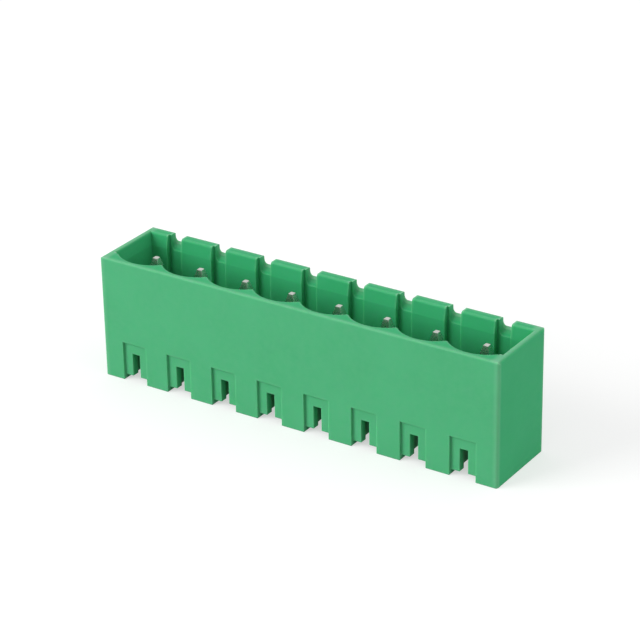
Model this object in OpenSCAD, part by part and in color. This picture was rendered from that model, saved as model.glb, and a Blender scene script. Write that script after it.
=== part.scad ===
// Vertical board header for a pluggable terminal block.
// A moulded housing, open at the top, takes the plug, and a row of square pins stands inside it.
// The origin lies on the board plane under the middle of the housing: +X runs along the row,
// +Y toward the notched back wall and +Z up. All sizes are in millimetres.

/* [Row] */
// Number of poles
poles = 8; // [2:1:16]
// Distance between neighbouring poles
pitch = 5.08; // [4.5:0.01:7.62]
// Length of housing past the outer half pitch, at each end
end_margin = 0.95; // [0.7:0.05:2]

/* [Housing shell] */
// Depth from the front face to the back face
housing_depth = 8.2; // [7.6:0.1:11]
// Height from the board plane to the rim
housing_height = 12.2; // [10:0.1:16]
// Thickness of the end walls
end_wall = 0.8; // [0.5:0.05:1.2]
// Radius of the upright outer corners
corner_radius = 0.25; // [0.1:0.05:0.6]
// Radius along the outer edge of the rim, at the front and the back
rim_radius = 0.15; // [0.1:0.05:0.4]
// Radius along the outer edge of the rim, at the ends
end_rim_radius = 0.3; // [0.1:0.05:0.4]
// Radius along the inner edge of the rim
mouth_radius = 0.25; // [0.1:0.05:0.3]
// Depth of the sloping lead-in at the top of the back and end walls
lead_in_depth = 0.2; // [0.1:0.05:0.35]
// Height of the sloping lead-in
lead_in_height = 1.3; // [0.8:0.1:2]

/* [Scalloped front wall] */
// Thickness of the front wall at the ribs between the poles
rib_wall = 1.6; // [1.3:0.05:2]
// Thickness of the front wall at the middle of each scallop
scallop_wall = 0.6; // [0.5:0.05:1.1]
// Flat left on the tip of each rib
rib_flat = 0.2; // [0.1:0.05:0.6]

/* [Back wall] */
// Thickness of the back wall below its lead-in
back_wall = 1.2; // [1:0.05:1.6]
// Reach of the key groove behind each pin toward -X; its other side lines up with the rim notch
groove_reach = 0.9; // [0.7:0.05:1.2]
// Depth of the key groove
groove_depth = 0.5; // [0.2:0.05:0.6]
// Width of each rim notch
notch_width = 1.4; // [1:0.1:2]
// Depth of each rim notch on the back face
notch_depth = 0.8; // [0.6:0.05:1.5]
// Fall of each notch floor from the back face to the key groove
notch_fall = 0.75; // [0.2:0.05:0.8]
// Radius in the lower corners of each rim notch
notch_radius = 0.35; // [0.1:0.05:0.45]

/* [Underside] */
// Height of the pockets and slots above the board plane
pocket_height = 2.8; // [2:0.1:4]
// Thickness of the cavity floor over the pockets
floor_thickness = 1.2; // [0.8:0.1:2]
// Thickness of the front and back skirts that close the pockets
skirt = 1; // [0.8:0.05:1.4]
// Width of each pocket along the row
pocket_width = 2.66; // [2.2:0.02:3]
// Thickness of the web that grips each pin, front to back
web_thickness = 2.2; // [1.8:0.1:3]
// Height of the underside of each web above the board plane
web_level = 1.2; // [0.6:0.1:1.8]
// Height of the solder gap between the feet
foot_height = 0.5; // [0.3:0.05:1]
// Height of the sunk panel below each pole on the front face
panel_height = 3.9; // [3:0.1:5]
// Depth of the sunk panel
panel_depth = 0.25; // [0.1:0.05:0.5]
// Width of the slot in the middle of each sunk panel
slot_width = 0.85; // [0.5:0.05:1.4]

/* [Contact pins] */
// Side of the square pin
pin_side = 1; // [0.8:0.05:1.2]
// Distance from the front face to the middle of the pin row
pin_setback = 4.1; // [3.8:0.05:4.6]
// Depth of the pin tips below the rim
tip_depth = 0.8; // [0.4:0.1:2]
// Length of the tapered tip
tip_length = 0.9; // [0.6:0.1:1.5]
// Width of the flat end of the tip
tip_flat = 0.3; // [0.2:0.05:0.4]
// Radius around the flat end of the tip
tip_radius = 0.1; // [0.05:0.01:0.15]
// Radius along the upright edges of the pin
pin_edge_radius = 0.12; // [0.05:0.01:0.2]
// Height of the cut end of the pin above the board plane
tail_level = 0.05; // [0.05:0.05:0.5]
// Bevel around the cut end of the pin
tail_bevel = 0.15; // [0.05:0.05:0.3]
// Reach of the retaining barb on each side of the pin
barb_reach = 0.12; // [0.05:0.01:0.25]
// Height of the retaining barb
barb_height = 0.8; // [0.5:0.1:1]
// Gap between the pin and its seat on every side
pin_fit = 0.01; // [0.01:0.01:0.05]

/* [Hidden] */
$fn = 64;

housing_green = [0.25, 0.66, 0.42];
pin_tin = [0.82, 0.83, 0.84];

// Run of every cutter past the face that it opens through
past = 0.5;

// Outer faces and the inside of the plug cavity
housing_length = poles * pitch + 2 * end_margin;
front_face = -housing_depth / 2;
back_face = housing_depth / 2;
cavity_length = housing_length - 2 * end_wall;
cavity_front = front_face + rib_wall;
cavity_back = back_face - back_wall;
floor_level = pocket_height + floor_thickness;
groove_back = cavity_back + groove_depth;

// Scallop arc through the middle of its wall and the two rib edges beside it
scallop_rise = rib_wall - scallop_wall;
scallop_half_chord = (pitch - rib_flat) / 2;
scallop_radius = (pow(scallop_half_chord, 2) + pow(scallop_rise, 2)) / (2 * scallop_rise);
scallop_y = front_face + scallop_wall + scallop_radius;

// Inner rim radius: its foot is raised so that it crosses the rim at a slight angle
mouth_share = 0.94;
mouth_rise = mouth_share * mouth_radius;
mouth_foot = housing_height - mouth_rise;

// Lead-in: its foot, the top of its cutter and how far it has run back where the inner rim radius starts
lead_foot = housing_height - lead_in_height;
lead_top = housing_height + past;
lead_run = lead_in_depth * (lead_in_height - mouth_rise) / lead_in_height;

// Slope of the notch floors
fall_angle = atan2(notch_fall, back_face - groove_back);

// Pin row
pin_y = front_face + pin_setback;
tip_level = housing_height - tip_depth;
tip_centre = tip_level - tip_radius;
shoulder_level = tip_level - tip_length;
barb_level = (web_level + floor_level) / 2;

function pole_x(pole) = (pole - (poles + 1) / 2) * pitch;

// Point where a line from the pin's shoulder touches the round edge of its end
taper_inset = (pin_side - tip_flat) / 2;
taper_rise = tip_centre - shoulder_level;
touch_angle = acos(tip_radius / norm([taper_inset, taper_rise])) - atan2(taper_rise, taper_inset);
tip_touch = [tip_flat / 2 + tip_radius * cos(touch_angle), tip_centre + tip_radius * sin(touch_angle)];

// Repeats its children at every pole
module at_poles() {
    for (pole = [1:poles]) translate([pole_x(pole), 0]) children();
}

// Sweeps a profile drawn in depth and height along the row
module along_row(length) {
    rotate([90, 0, 90]) linear_extrude(length, center = true) children();
}

// Sweeps a profile drawn in length and height from one depth to another
module through_depth(from, to) {
    translate([0, to, 0]) rotate([90, 0, 0]) linear_extrude(to - from) children();
}

// Rectangle about the origin with round corners
module round_rectangle(width, depth, radius) {
    square([width - 2 * radius, depth], center = true);
    square([width, depth - 2 * radius], center = true);
    for (x = [-1, 1], y = [-1, 1])
        translate([x * (width / 2 - radius), y * (depth / 2 - radius)]) circle(radius);
}

// Upright rectangle on the baseline with its upper corners rounded
module round_top(width, height, radius) {
    translate([-width / 2, 0]) square([width, height - radius]);
    translate([radius - width / 2, 0]) square([width - 2 * radius, height]);
    for (x = [-1, 1]) translate([x * (width / 2 - radius), height - radius]) circle(radius);
}

// Outside of the housing, rounded at its upright corners and around the rim
module shell() {
    intersection() {
        linear_extrude(housing_height) round_rectangle(housing_length, housing_depth, corner_radius);
        along_row(housing_length) round_top(housing_depth, housing_height, rim_radius);
        through_depth(front_face, back_face) round_top(housing_length, housing_height, end_rim_radius);
    }
}

// Plug cavity between the ribs and the back wall, with a key groove behind each pin
module cavity() {
    translate([0, 0, floor_level]) linear_extrude(housing_height - floor_level + past) {
        translate([-cavity_length / 2, cavity_front]) square([cavity_length, cavity_back - cavity_front]);
        at_poles() translate([-groove_reach, cavity_back - past])
            square([groove_reach + notch_width / 2, groove_depth + past]);
    }
}

// Flare of a wall that stands at the given distance, rounded over into the rim
module mouth_flare(wall) {
    difference() {
        translate([0, mouth_foot]) square([wall + mouth_radius, mouth_rise + past]);
        translate([wall + mouth_radius, mouth_foot]) circle(mouth_radius);
    }
}

// Hollow of one scallop in the front wall, turned about its own axis and rounded over at the rim
module scallop() {
    intersection() {
        translate([0, scallop_y, 0]) rotate_extrude() {
            translate([0, floor_level]) square([scallop_radius, housing_height - floor_level + past]);
            mouth_flare(scallop_radius);
        }
        translate([-pitch / 2, front_face, floor_level])
            cube([pitch, rib_wall + past, housing_height]);
    }
}

// Round over the tips of the ribs
module rib_flare() {
    along_row(cavity_length) mirror([1, 0]) mouth_flare(-cavity_front);
}

// Upper part of a wall that stands at the given distance: a slope that leads in, rounded over into the rim
module lead_profile(wall) {
    polygon([
        [0, lead_foot],
        [wall, lead_foot],
        [wall + lead_in_depth, housing_height],
        [wall + lead_in_depth, lead_top],
        [0, lead_top],
    ]);
    mouth_flare(wall + lead_run);
}

// Lead-in around the top of the back wall and the end walls, mitred where they meet
module lead_in() {
    intersection() {
        along_row(housing_length) {
            translate([cavity_front, lead_foot]) square([-cavity_front, lead_top - lead_foot]);
            lead_profile(cavity_back);
        }
        through_depth(cavity_front, back_face) {
            lead_profile(cavity_length / 2);
            mirror([1, 0]) lead_profile(cavity_length / 2);
        }
    }
}

// Section of a rim notch across its sloping floor, with round lower corners
module notch_section(height) {
    translate([-notch_width / 2, notch_radius]) square([notch_width, height - notch_radius]);
    translate([notch_radius - notch_width / 2, 0]) square([notch_width - 2 * notch_radius, height]);
    for (x = [-1, 1]) translate([x * (notch_width / 2 - notch_radius), notch_radius]) circle(notch_radius);
}

// Notch through the rim of the back wall, sloping down into the key groove
module rim_notch() {
    run = (back_wall + past) / cos(fall_angle);
    height = notch_depth + back_wall * tan(fall_angle) + past;
    translate([0, back_face, housing_height - notch_depth]) rotate([fall_angle, 0, 0])
        through_depth(-run, height * tan(fall_angle) + past) notch_section(height);
}

// Sunk panel on the front face with its slot, and the solder gap between two feet
module front_panel() {
    translate([-pocket_width / 2, front_face - past, -past])
        cube([pocket_width, panel_depth + past, panel_height + past]);
    translate([-slot_width / 2, front_face - past, -past])
        cube([slot_width, skirt + 2 * past, pocket_height + past]);
    translate([-pocket_width / 2, front_face - past, -past])
        cube([pocket_width, housing_depth + 2 * past, foot_height + past]);
}

// Hollow below the cavity floor, with a web left in its middle to grip the pin
module pocket() {
    difference() {
        translate([-pocket_width / 2, front_face + skirt, -past])
            cube([pocket_width, housing_depth - 2 * skirt, pocket_height + past]);
        translate([-pocket_width / 2 - past, pin_y - web_thickness / 2, web_level])
            cube([pocket_width + 2 * past, web_thickness, pocket_height]);
    }
}

// Square section of a pin, grown by a gap on every side
module pin_section(gap) {
    translate([0, pin_y])
        round_rectangle(pin_side + 2 * gap, pin_side + 2 * gap, pin_edge_radius + gap);
}

// Pair of coined barbs on a pin's sides, grown by a gap
module barbs(gap) {
    half_width = pin_side / 2 + gap;
    half_height = barb_height / 2 + gap;
    through_depth(pin_y - pin_side / 2 - gap, pin_y + pin_side / 2 + gap) polygon([
        [-half_width, barb_level - half_height],
        [half_width, barb_level - half_height],
        [half_width + barb_reach, barb_level],
        [half_width, barb_level + half_height],
        [-half_width, barb_level + half_height],
        [-half_width - barb_reach, barb_level],
    ]);
}

// Room in the housing for one pin
module pin_seat() {
    translate([0, 0, web_level - past])
        linear_extrude(floor_level - web_level + 2 * past) pin_section(pin_fit);
    barbs(pin_fit);
}

// Side view of a pin about its own axis: bevelled cut end, straight shank and tapered, round-edged tip
module pin_profile() {
    half = pin_side / 2;
    for (x = [-1, 1]) translate([x * tip_flat / 2, tip_centre]) circle(tip_radius);
    polygon([
        [tail_bevel - half, tail_level],
        [half - tail_bevel, tail_level],
        [half, tail_level + tail_bevel],
        [half, shoulder_level],
        tip_touch,
        [tip_flat / 2, tip_level],
        [-tip_flat / 2, tip_level],
        [-tip_touch[0], tip_touch[1]],
        [-half, shoulder_level],
        [-half, tail_level + tail_bevel],
    ]);
}

module housing() {
    color(housing_green) difference() {
        shell();
        cavity();
        lead_in();
        rib_flare();
        at_poles() {
            scallop();
            rim_notch();
            front_panel();
            pocket();
            pin_seat();
        }
    }
}

module pin(pole) {
    color(pin_tin) translate([pole_x(pole), 0, 0]) {
        intersection() {
            linear_extrude(housing_height) pin_section(0);
            through_depth(pin_y - pin_side, pin_y + pin_side) pin_profile();
            translate([0, pin_y, 0]) along_row(2 * pin_side) pin_profile();
        }
        barbs(0);
    }
}

housing();
for (pole = [1:poles]) pin(pole);
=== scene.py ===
"""Upright board header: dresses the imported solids, builds the plated pins, and sets studio and camera."""

import logging
import math
from dataclasses import dataclass, field
from enum import Enum
from typing import Any

import bpy
import numpy as np
from mathutils import Euler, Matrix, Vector


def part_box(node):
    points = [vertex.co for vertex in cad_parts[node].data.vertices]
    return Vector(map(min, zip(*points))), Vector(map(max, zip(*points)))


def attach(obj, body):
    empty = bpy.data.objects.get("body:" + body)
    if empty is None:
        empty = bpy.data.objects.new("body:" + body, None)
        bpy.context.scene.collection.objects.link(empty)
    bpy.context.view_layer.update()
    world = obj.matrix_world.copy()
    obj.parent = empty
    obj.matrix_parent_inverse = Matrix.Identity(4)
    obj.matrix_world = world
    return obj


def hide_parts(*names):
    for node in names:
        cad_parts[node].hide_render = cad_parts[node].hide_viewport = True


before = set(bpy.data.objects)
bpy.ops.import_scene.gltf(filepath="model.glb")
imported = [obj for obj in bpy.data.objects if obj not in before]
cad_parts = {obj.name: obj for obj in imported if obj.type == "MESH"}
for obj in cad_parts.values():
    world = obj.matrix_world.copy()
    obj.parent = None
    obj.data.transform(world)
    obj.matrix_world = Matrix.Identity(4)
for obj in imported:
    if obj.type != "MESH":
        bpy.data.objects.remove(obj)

log = logging.getLogger("board_header")

MM = 0.001
QUARTER_TURN = math.pi / 2.0

Socket = bpy.types.NodeSocket
Colour = tuple[float, float, float, float]
WHITE: Colour = (1.0, 1.0, 1.0, 1.0)

# Curve from screen values to light: a straight foot, and a power above it
SCREEN_FULL = 255.0
FOOT_END = 0.04045
FOOT_SLOPE = 12.92
CURVE_OFFSET = 0.055
CURVE_POWER = 2.4


class Slot(Enum):
    """The record's material slots for new pieces; this script doesn't hand them out."""

    PINS = "pins"


class Body(Enum):
    """The bodies that pieces ride on."""

    ROOT = "root"


@dataclass(frozen=True)
class Grain:
    """One soft noise: the size of a cloud in metres, its number of finer layers and their strength."""

    size: float
    layers: float
    strength: float


class NodeSheet:
    """One node tree with short calls to add and join its nodes."""

    def __init__(self, tree: bpy.types.NodeTree) -> None:
        """Empties the tree and keeps it.

        Args:
            tree: the node tree of a material or a world.
        """
        self.tree = tree
        self.tree.nodes.clear()

    def add(self, kind: str, inputs: dict[str, Any] | None = None, **settings: Any) -> bpy.types.Node:
        """Adds a node.

        Args:
            kind: the node's type name without its ShaderNode start.
            inputs: socket name to a plain value or to a socket that feeds it.
            settings: the node's own properties.

        Returns:
            The new node.
        """
        node = self.tree.nodes.new("ShaderNode" + kind)
        for name, value in settings.items():
            setattr(node, name, value)
        for name, value in (inputs or {}).items():
            self.feed(node.inputs[name], value)
        return node

    def feed(self, target: Socket, value: Any) -> None:
        """Sets a socket to a plain value, or joins another socket to it.

        Args:
            target: the socket that takes the value.
            value: a number, colour, vector or output socket.
        """
        if isinstance(value, Socket):
            self.tree.links.new(value, target)
        else:
            target.default_value = value

    def math(self, operation: str, *values: Any) -> Socket:
        """Works out one sum, product or other operation.

        Args:
            operation: the Math node's operation.
            values: its inputs in order, as plain numbers or sockets.

        Returns:
            The socket of the result.
        """
        node = self.add("Math", operation=operation)
        for target, value in zip(node.inputs, values):
            self.feed(target, value)
        return node.outputs["Value"]

    def spread(self, value: Socket, lowest: float, highest: float) -> Socket:
        """Stretches a value from the range 0 to 1 onto another range.

        Args:
            value: the socket to stretch.
            lowest: result at 0.
            highest: result at 1.

        Returns:
            The socket of the result.
        """
        node = self.add("MapRange", {"Value": value, "To Min": lowest, "To Max": highest})
        return node.outputs["Result"]

    def ramp(self, value: Socket, start: float, end: float) -> Socket:
        """Rises from 0 to 1 between two values and stays level outside them.

        Args:
            value: the socket that is followed.
            start: value at which the rise starts.
            end: value at which it has reached 1.

        Returns:
            The socket of the result.
        """
        node = self.add("MapRange", {"Value": value, "From Min": start, "From Max": end})
        return node.outputs["Result"]

    def noise(self, place: Socket, grain: Grain) -> Socket:
        """Makes a cloud of soft noise.

        Args:
            place: the coordinates that it follows.
            grain: its size and its finer layers.

        Returns:
            The socket of the noise, about 0.5.
        """
        inputs = {
            "Vector": place,
            "Scale": 1.0 / grain.size,
            "Detail": grain.layers,
            "Roughness": grain.strength,
        }
        return self.add("TexNoise", inputs, noise_dimensions="3D").outputs["Fac"]

    def blend(self, share: Socket, first: Any, second: Any) -> Socket:
        """Blends two colours.

        Args:
            share: share of the second one.
            first: the first colour or its socket.
            second: the second colour or its socket.

        Returns:
            The socket of the blended colour.
        """
        node = self.add("Mix", data_type="RGBA")
        colours = [socket for socket in node.inputs if socket.type == "RGBA"]
        for target, value in zip((node.inputs["Factor"], *colours), (share, first, second)):
            self.feed(target, value)
        return next(socket for socket in node.outputs if socket.type == "RGBA")


def linear(red: int, green: int, blue: int) -> Colour:
    """Turns a screen colour into the renderer's linear colour.

    Args:
        red: red from 0 to 255.
        green: green from 0 to 255.
        blue: blue from 0 to 255.

    Returns:
        Linear red, green, blue and an alpha of 1.
    """
    screen = np.array([red, green, blue]) / SCREEN_FULL
    curve = ((screen + CURVE_OFFSET) / (1.0 + CURVE_OFFSET)) ** CURVE_POWER
    light = np.where(screen <= FOOT_END, screen / FOOT_SLOPE, curve)
    return (*light.tolist(), 1.0)


@dataclass(frozen=True)
class MouldedPlastic:
    """Satin green moulding: cloudy pigment, fine spark-eroded grain, painted sheen on outer faces and painted
    edge highlights.
    """

    colour: Colour = linear(58, 170, 112)
    pale: Colour = linear(67, 179, 121)
    deep: Colour = linear(50, 162, 104)
    # Pale green painted along the outward edges as a highlight.
    edge_highlight: Colour = linear(196, 224, 206)
    # Whitish green painted on as a sheen over the outer faces and as highlights on the corners and end rims.
    sheen_tone: Colour = linear(228, 238, 232)
    cloud: Grain = Grain(size=6.0 * MM, layers=3.0, strength=0.55)
    cloud_range: tuple[float, float] = (0.0, 1.0)
    mottle: Grain = Grain(size=0.7 * MM, layers=4.0, strength=0.6)
    mottle_range: tuple[float, float] = (-0.5, 1.1)
    skin: Grain = Grain(size=0.06 * MM, layers=2.0, strength=0.5)
    skin_height: float = 0.004 * MM
    wave: Grain = Grain(size=1.6 * MM, layers=1.0, strength=0.4)
    wave_height: float = 0.006 * MM
    edge_radius: float = 0.09 * MM
    round_samples: int = 6
    edge_reach: float = 0.25 * MM
    edge_samples: int = 8
    edge_limit: float = 0.4
    edge_share: tuple[float, float] = (0.45, 1.2)
    # Share of the painted edge highlight that edges facing sideways keep.
    side_highlight: float = 0.08
    # Painted sheen on the long outer faces, and painted highlights on the upright corners and the ends' rims.
    sheen_fade: tuple[float, float] = (0.55 * MM, 0.3 * MM)
    sheen_share: tuple[float, float] = (0.035, 0.075)
    corner_reach: float = 0.6 * MM
    corner_wrap: float = 0.35 * MM
    corner_share: float = 0.085
    end_wall: tuple[float, float] = (1.0 * MM, 0.6 * MM)
    rim_reach: float = 0.1 * MM
    rim_share: float = 0.12
    roughness: tuple[float, float] = (0.46, 0.58)
    refraction: float = 1.5
    gloss_level: float = 0.08
    glow: float = 0.5
    glow_reach: float = 0.4 * MM
    glow_colours: tuple[float, float, float] = (0.25, 1.0, 0.4)

    def tone(self, sheet: NodeSheet, place: Socket, mottle: Socket) -> Socket:
        """Shifts the green between its deep and pale tones by pigment clouds and a finer mottle.

        Args:
            sheet: the material's node sheet.
            place: object coordinates.
            mottle: the finer mottle.

        Returns:
            The socket of the colour.
        """
        clouds = sheet.spread(sheet.noise(place, self.cloud), *self.cloud_range)
        tone = sheet.blend(clouds, self.deep, self.pale)
        return sheet.blend(sheet.spread(mottle, *self.mottle_range), tone, self.colour)

    def edges(self, sheet: NodeSheet) -> Socket:
        """Marks the outward edges for a painted highlight, those that face up the most, by how little plastic
        lies close under them.

        Args:
            sheet: the material's node sheet.

        Returns:
            The socket of the mark.
        """
        inside = sheet.add(
            "AmbientOcclusion",
            {"Distance": self.edge_reach},
            samples=self.edge_samples,
            inside=True,
            only_local=True,
        )
        thin = sheet.math("MINIMUM", sheet.math("SUBTRACT", 1.0, inside.outputs["AO"]), self.edge_limit)
        facing = sheet.add("SeparateXYZ", {"Vector": sheet.add("NewGeometry").outputs["Normal"]})
        # Edges facing up take the full painted highlight, those facing sideways only a small share.
        return sheet.math("MULTIPLY", thin, sheet.spread(facing.outputs["Z"], self.side_highlight, 1.0))

    def painted_sheen(self, sheet: NodeSheet, place: Socket, mottle: Socket, far: Vector) -> Socket:
        """Marks a painted sheen on the long outer faces lightly, and painted highlights on the four upright
        corners and the ends' rims more.

        Args:
            sheet: the material's node sheet.
            place: object coordinates, which start under the housing's middle.
            mottle: the mottle that makes the marks uneven.
            far: the housing's corner that lies farthest along all three axes.

        Returns:
            The socket of the marks.
        """
        sides = sheet.add("SeparateXYZ", {"Vector": place}).outputs
        along = sheet.math("ABSOLUTE", sides["X"])
        across = sheet.math("ABSOLUTE", sides["Y"])
        # Painted sheen on the long outer faces, made uneven by the mottle.
        face = sheet.ramp(across, far.y - self.sheen_fade[0], far.y - self.sheen_fade[1])
        faces = sheet.math("MULTIPLY", face, sheet.spread(mottle, *self.sheen_share))
        # Painted highlights on the upright corners and along the ends' rims.
        end = sheet.ramp(along, far.x - self.corner_reach, far.x)
        side = sheet.ramp(across, far.y - self.corner_wrap, far.y)
        corners = sheet.math("MULTIPLY", sheet.math("MULTIPLY", end, side), self.corner_share)
        wall = sheet.ramp(along, far.x - self.end_wall[0], far.x - self.end_wall[1])
        rim = sheet.ramp(sides["Z"], far.z - self.rim_reach, far.z)
        rims = sheet.math("MULTIPLY", sheet.math("MULTIPLY", wall, rim), self.rim_share)
        return sheet.math("ADD", faces, sheet.math("MAXIMUM", corners, rims))

    def relief(self, sheet: NodeSheet, place: Socket) -> Socket:
        """Rounds the sharp edges, and lays a fine skin over a slow wave as bump.

        Args:
            sheet: the material's node sheet.
            place: object coordinates.

        Returns:
            The socket of the surface's direction.
        """
        rounded = sheet.add("Bevel", {"Radius": self.edge_radius}, samples=self.round_samples)
        normal = rounded.outputs["Normal"]
        for grain, height in ((self.wave, self.wave_height), (self.skin, self.skin_height)):
            inputs = {"Height": sheet.noise(place, grain), "Distance": height, "Normal": normal}
            normal = sheet.add("Bump", inputs).outputs["Normal"]
        return normal

    def material(self, far: Vector) -> bpy.types.Material:
        """Builds the material: clouded green, a painted sheen on the faces, painted edge highlights and a
        fine relief.

        Args:
            far: the housing's corner that lies farthest along all three axes.

        Returns:
            The finished material.
        """
        material = bpy.data.materials.new("green_moulding")
        material.use_nodes = True
        sheet = NodeSheet(material.node_tree)
        place = sheet.add("TexCoord").outputs["Object"]
        mottle = sheet.noise(place, self.mottle)
        tone = self.tone(sheet, place, mottle)
        # Painted sheen on the long faces and painted highlights on the upright corners and end rims.
        tone = sheet.blend(self.painted_sheen(sheet, place, mottle, far), tone, self.sheen_tone)
        # Painted highlight along the outward edges, strongest on those that face up.
        painted_edge_highlight = sheet.math("MULTIPLY", self.edges(sheet), sheet.spread(mottle, *self.edge_share))
        tone = sheet.blend(painted_edge_highlight, tone, self.edge_highlight)
        shader = sheet.add(
            "BsdfPrincipled",
            {
                "Base Color": tone,
                "Roughness": sheet.spread(mottle, *self.roughness),
                "Normal": self.relief(sheet, place),
                "IOR": self.refraction,
                "Specular IOR Level": self.gloss_level,
                "Subsurface Weight": self.glow,
                "Subsurface Radius": self.glow_colours,
                "Subsurface Scale": self.glow_reach,
            },
        )
        sheet.add("OutputMaterial", {"Surface": shader.outputs["BSDF"]})
        return material


@dataclass(frozen=True)
class TinPlate:
    """Bright tin on drawn wire: fine lines along the pin, dull patches and a faint warm cast."""

    bright: Colour = (0.62, 0.63, 0.60, 1.0)
    dull: Colour = (0.50, 0.51, 0.48, 1.0)
    patch: Grain = Grain(size=0.5 * MM, layers=3.0, strength=0.6)
    line: Grain = Grain(size=0.05 * MM, layers=2.0, strength=0.5)
    line_scale: tuple[float, float, float] = (1.0, 1.0, 0.04)
    line_height: float = 0.0006 * MM
    roughness: tuple[float, float] = (0.20, 0.34)
    metal: float = 1.0

    def material(self) -> bpy.types.Material:
        """Builds the material.

        Noise drawn out along the pin gives the drawing lines, and a slower noise moves the colour and the
        roughness between bright and dull plating.

        Returns:
            The finished material.
        """
        material = bpy.data.materials.new("tin_plate")
        material.use_nodes = True
        sheet = NodeSheet(material.node_tree)
        place = sheet.add("TexCoord").outputs["Object"]
        drawn = sheet.add("Mapping", {"Vector": place, "Scale": self.line_scale}).outputs["Vector"]
        lines = sheet.noise(drawn, self.line)
        patches = sheet.noise(place, self.patch)
        bump = sheet.add("Bump", {"Height": lines, "Distance": self.line_height})
        shader = sheet.add(
            "BsdfPrincipled",
            {
                "Base Color": sheet.blend(patches, self.bright, self.dull),
                "Metallic": self.metal,
                "Roughness": sheet.spread(patches, *self.roughness),
                "Normal": bump.outputs["Normal"],
            },
        )
        sheet.add("OutputMaterial", {"Surface": shader.outputs["BSDF"]})
        return material


@dataclass(frozen=True)
class FloorPaper:
    """Pale paper that the camera sees as white, apart from the object's shadow."""

    colour: Colour = (0.5, 0.5, 0.5, 1.0)
    lift: float = 0.55

    def material(self) -> bpy.types.Material:
        """Builds the material: matt paper, with a lift for camera, glossy and transmitted rays only.

        Returns:
            The finished material.
        """
        material = bpy.data.materials.new("floor_paper")
        material.use_nodes = True
        sheet = NodeSheet(material.node_tree)
        matt = sheet.add("BsdfDiffuse", {"Color": self.colour})
        glow = sheet.add("Emission", {"Strength": sheet.math("MULTIPLY", seen(sheet), self.lift)})
        both = sheet.add("AddShader")
        sheet.feed(both.inputs[0], matt.outputs["BSDF"])
        sheet.feed(both.inputs[1], glow.outputs["Emission"])
        sheet.add("OutputMaterial", {"Surface": both.outputs["Shader"]})
        return material


def seen(sheet: NodeSheet) -> Socket:
    """Marks the rays that show a background: camera, glossy and transmitted ones.

    Args:
        sheet: the node sheet to add to.

    Returns:
        A socket that is 1 for those rays.
    """
    path = sheet.add("LightPath").outputs
    rays = sheet.math("MAXIMUM", path["Is Glossy Ray"], path["Is Transmission Ray"])
    return sheet.math("MAXIMUM", path["Is Camera Ray"], rays)


def put_on(obj: bpy.types.Object, material: bpy.types.Material) -> None:
    """Gives an object one material on its own slots, and leaves the shape of its mesh as it is.

    Args:
        obj: the object to dress.
        material: its finish.
    """
    if not obj.material_slots:
        obj.data.materials.append(material)
    for holder in obj.material_slots:
        holder.link = "OBJECT"
        holder.material = material


@dataclass
class Housing:
    """The moulded housing: its solid is already right, so it only takes its finish."""

    node: str = "housing"
    finish: MouldedPlastic = field(default_factory=MouldedPlastic)

    def dress(self) -> bpy.types.Object:
        """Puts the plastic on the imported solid.

        Returns:
            The housing's object.
        """
        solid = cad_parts[self.node]
        put_on(solid, self.finish.material(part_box(self.node)[1]))
        return solid


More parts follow.
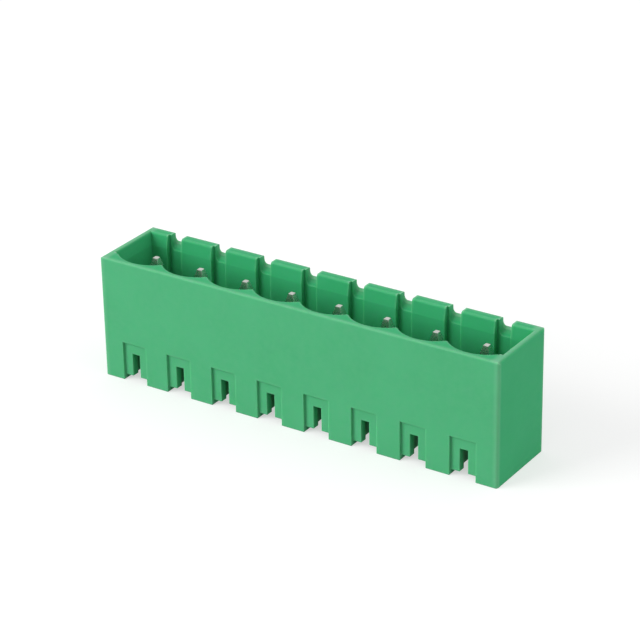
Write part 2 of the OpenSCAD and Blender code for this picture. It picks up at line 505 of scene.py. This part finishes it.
@dataclass
class PinRow:
    """The row of square plated pins, each a rounded square carried up its own axis."""

    node_start: str = "pin_"
    edge_radius: float = 0.12 * MM
    tail_bevel: float = 0.15 * MM
    barb_height: float = 0.8 * MM
    barb_level: float = 2.6 * MM
    tip_length: float = 0.9 * MM
    tip_flat: float = 0.3 * MM
    tip_radius: float = 0.1 * MM
    taper_edge: float = 0.01 * MM
    taper_stops: tuple[float, float] = (0.15, 0.95)
    end_edge: float = 0.08 * MM
    end_share: float = 0.9
    hold: float = 0.01 * MM
    crease: float = math.radians(40.0)
    corners: int = 4
    corner_points: int = 7
    tip_rings: int = 8
    finish: TinPlate = field(default_factory=TinPlate)

    def section(self) -> tuple[np.ndarray, np.ndarray]:
        """Lays out a rounded square as four quarter turns about the corners of an inner square.

        Returns:
            Signs of the inner square's corners and unit outward directions, each of shape (points, 2).
        """
        corner = np.repeat(np.arange(self.corners), self.corner_points)
        turn = np.tile(np.linspace(0.0, 1.0, self.corner_points), self.corners)
        angle = (corner + turn) * QUARTER_TURN
        outward = np.stack([np.cos(angle), np.sin(angle)], axis=1)
        middle = (corner + 0.5) * QUARTER_TURN
        signs = np.sign(np.stack([np.cos(middle), np.sin(middle)], axis=1))
        return signs, outward

    def shank(self, low: float, shoulder: float, half: float, reach: float) -> np.ndarray:
        """Lists the rings of the bevelled cut end and of the straight shank with its barb.

        Args:
            low: level of the cut end.
            shoulder: level at which the tip starts.
            half: half the pin's side.
            reach: how far the barb stands out on each side.

        Returns:
            Rows of level, half width along the row, half width along the depth and edge radius.
        """
        bevel = low + self.tail_bevel
        barb_low = self.barb_level - self.barb_height / 2.0
        barb_high = self.barb_level + self.barb_height / 2.0
        end_levels = [low, bevel, bevel + self.hold]
        barb_levels = [barb_low - self.hold, barb_low, self.barb_level, barb_high, barb_high + self.hold]
        level = np.array([*end_levels, *barb_levels, shoulder - self.hold, shoulder])
        depth_half = np.where(level == low, half - self.tail_bevel, half)
        row_half = np.where(level == self.barb_level, half + reach, depth_half)
        edge = np.full(level.size, self.edge_radius)
        return np.stack([level, row_half, depth_half, edge], axis=1)

    def tip(self, shoulder: float, high: float, half: float) -> np.ndarray:
        """Lists the rings of the tip.

        It tapers in a straight line that touches a quarter round, whose half width and level follow the
        cosine and sine of its turn up to a flat end.

        Args:
            shoulder: level at which the tip starts.
            high: level of the flat end.
            half: half the pin's side.

        Returns:
            Rows of level, half width along the row, half width along the depth and edge radius.
        """
        inset = half - self.tip_flat / 2.0
        rise = high - self.tip_radius - shoulder
        touch = math.acos(self.tip_radius / math.hypot(inset, rise)) - math.atan2(rise, inset)
        turn = np.linspace(touch, QUARTER_TURN, self.tip_rings)
        end_width = self.tip_flat / 2.0 + self.tip_radius * np.cos(turn)
        end_level = high - self.tip_radius + self.tip_radius * np.sin(turn)
        end_edge = np.linspace(self.taper_edge, self.end_edge, self.tip_rings)
        stops = np.array(self.taper_stops)
        taper_level = shoulder + stops * (end_level[0] - shoulder)
        taper_width = half + stops * (end_width[0] - half)
        taper_edge = np.full(stops.size, self.taper_edge)
        level = np.concatenate([taper_level, end_level, [high]])
        wide = np.concatenate([taper_width, end_width, [self.end_share * end_width[-1]]])
        edge = np.concatenate([taper_edge, end_edge, [self.end_share * self.end_edge]])
        return np.stack([level, wide, wide, edge], axis=1)

    def surface(self, node: str) -> tuple[np.ndarray, list[list[int]]]:
        """Carries the section up the rings.

        Each point is its corner's sign times the half width less the radius, plus the radius times its
        outward direction, at the ring's level.

        Args:
            node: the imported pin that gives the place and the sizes.

        Returns:
            Vertices of shape (count, 3) in metres, and the faces: quads and one flat face at each end.
        """
        low, high = (np.array(corner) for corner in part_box(node))
        middle = (low + high) / 2.0
        half = (high[1] - low[1]) / 2.0
        reach = (high[0] - low[0]) / 2.0 - half
        shoulder = high[2] - self.tip_length
        signs, outward = self.section()
        rings = np.concatenate([self.shank(low[2], shoulder, half, reach), self.tip(shoulder, high[2], half)])
        wide = rings[:, None, 1:3]
        radius = rings[:, None, 3:4]
        flat = signs[None] * (wide - radius) + radius * outward[None]
        level = np.broadcast_to(rings[:, None, 0:1], (*flat.shape[:2], 1))
        points = np.concatenate([flat + middle[:2], level], axis=2)
        around = np.arange(signs.shape[0])
        index = np.arange(rings.shape[0])[:, None] * around.size + around
        after = np.roll(index, -1, axis=1)
        quads = np.stack([index[:-1], after[:-1], after[1:], index[1:]], axis=-1).reshape(-1, 4)
        return points.reshape(-1, 3), [*quads.tolist(), index[0, ::-1].tolist(), index[-1].tolist()]

    def build(self) -> list[bpy.types.Object]:
        """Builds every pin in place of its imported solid.

        Returns:
            The pins in order along the row.
        """
        plate = self.finish.material()
        nodes = sorted(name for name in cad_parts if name.startswith(self.node_start))
        return [self.build_pin(node, plate) for node in nodes]

    def build_pin(self, node: str, plate: bpy.types.Material) -> bpy.types.Object:
        """Builds one pin.

        Args:
            node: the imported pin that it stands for.
            plate: its finish.

        Returns:
            The pin's object.
        """
        points, faces = self.surface(node)
        mesh = bpy.data.meshes.new(f"plated_{node}")
        mesh.from_pydata(points, [], faces)
        mesh.polygons.foreach_set("use_smooth", np.ones(len(faces), dtype=bool))
        mesh.set_sharp_from_angle(angle=self.crease)
        mesh.update()
        pin = bpy.data.objects.new(f"plated_{node}", mesh)
        bpy.context.scene.collection.objects.link(pin)
        put_on(pin, plate)
        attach(pin, Body.ROOT.value)
        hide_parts(node)
        return pin


@dataclass(frozen=True)
class SoftLamp:
    """One square soft box aimed at the object."""

    name: str
    place: tuple[float, float, float]
    size: float
    power: float

    def build(self) -> bpy.types.Object:
        """Adds the lamp, which gloss doesn't show.

        Returns:
            The lamp's object.
        """
        light = bpy.data.lights.new(self.name, "AREA")
        light.size = self.size
        light.energy = self.power
        lamp = bpy.data.objects.new(self.name, light)
        lamp.location = self.place
        lamp.visible_glossy = False
        lamp.rotation_euler = (-Vector(self.place)).to_track_quat("-Z", "Y").to_euler()
        bpy.context.scene.collection.objects.link(lamp)
        return lamp


@dataclass
class Studio:
    """Pale paper floor, even white surroundings and soft boxes."""

    floor_half: float = 1.5
    floor_drop: float = 0.02 * MM
    floor_cells: int = 4
    surround: float = 0.65
    lamps: tuple[SoftLamp, ...] = (
        SoftLamp("key_box", place=(-0.36, -0.42, 0.28), size=0.40, power=2.94),
        SoftLamp("side_box", place=(0.50, 0.07, 0.19), size=0.40, power=0.63),
    )
    paper: FloorPaper = field(default_factory=FloorPaper)

    def build_floor(self) -> bpy.types.Object:
        """Lays a flat sheet of paper: a grid of two parameters at one level.

        Returns:
            The floor's object.
        """
        lines = self.floor_cells + 1
        side = np.linspace(-self.floor_half, self.floor_half, lines)
        across, along = np.meshgrid(side, side)
        points = np.stack([across.ravel(), along.ravel(), np.full(across.size, -self.floor_drop)], axis=1)
        cell = np.arange(self.floor_cells)
        start = cell[:, None] * lines + cell
        quads = np.stack([start, start + 1, start + lines + 1, start + lines], axis=-1).reshape(-1, 4)
        mesh = bpy.data.meshes.new("paper_floor")
        mesh.from_pydata(points, [], quads)
        mesh.update()
        floor = bpy.data.objects.new("paper_floor", mesh)
        bpy.context.scene.collection.objects.link(floor)
        put_on(floor, self.paper.material())
        return floor

    def build_surround(self) -> None:
        """Makes the world an even white that seen rays meet at full white."""
        world = bpy.data.worlds.new("white_surround")
        world.use_nodes = True
        sheet = NodeSheet(world.node_tree)
        strength = sheet.spread(seen(sheet), self.surround, 1.0)
        light = sheet.add("Background", {"Color": WHITE, "Strength": strength})
        sheet.add("OutputWorld", {"Surface": light.outputs["Background"]})
        bpy.context.scene.world = world

    def build(self) -> None:
        """Builds the surroundings, the floor and the lamps."""
        self.build_surround()
        self.build_floor()
        for lamp in self.lamps:
            lamp.build()


@dataclass(frozen=True)
class ViewPoint:
    """The camera's place, turn in degrees and lens in millimetres."""

    place: tuple[float, float, float] = (0.114988, -0.173076, 0.109736)
    turn: tuple[float, float, float] = (64.1954, 0.9295, 33.0448)
    lens: float = 143.415
    nearest: float = 0.01
    farthest: float = 10.0

    def build(self) -> bpy.types.Object:
        """Adds the camera and makes it the scene's own.

        Returns:
            The camera's object.
        """
        data = bpy.data.cameras.new("photo_camera")
        data.lens = self.lens
        data.clip_start = self.nearest
        data.clip_end = self.farthest
        camera = bpy.data.objects.new("photo_camera", data)
        camera.location = self.place
        camera.rotation_euler = Euler([math.radians(angle) for angle in self.turn], "XYZ")
        bpy.context.scene.collection.objects.link(camera)
        bpy.context.scene.camera = camera
        return camera


def main() -> None:
    """Dresses the housing, builds the pins, the studio and the camera."""
    logging.basicConfig(level=logging.INFO, format="%(name)s: %(message)s")
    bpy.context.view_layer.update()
    bpy.context.scene.view_settings.view_transform = "Standard"
    housing = Housing().dress()
    log.info("dressed %s", housing.name)
    for pin in PinRow().build():
        log.info("built %s with %d faces", pin.name, len(pin.data.polygons))
    Studio().build()
    log.info("built the studio")
    camera = ViewPoint().build()
    log.info("placed %s", camera.name)


if __name__ == "__main__":
    main()
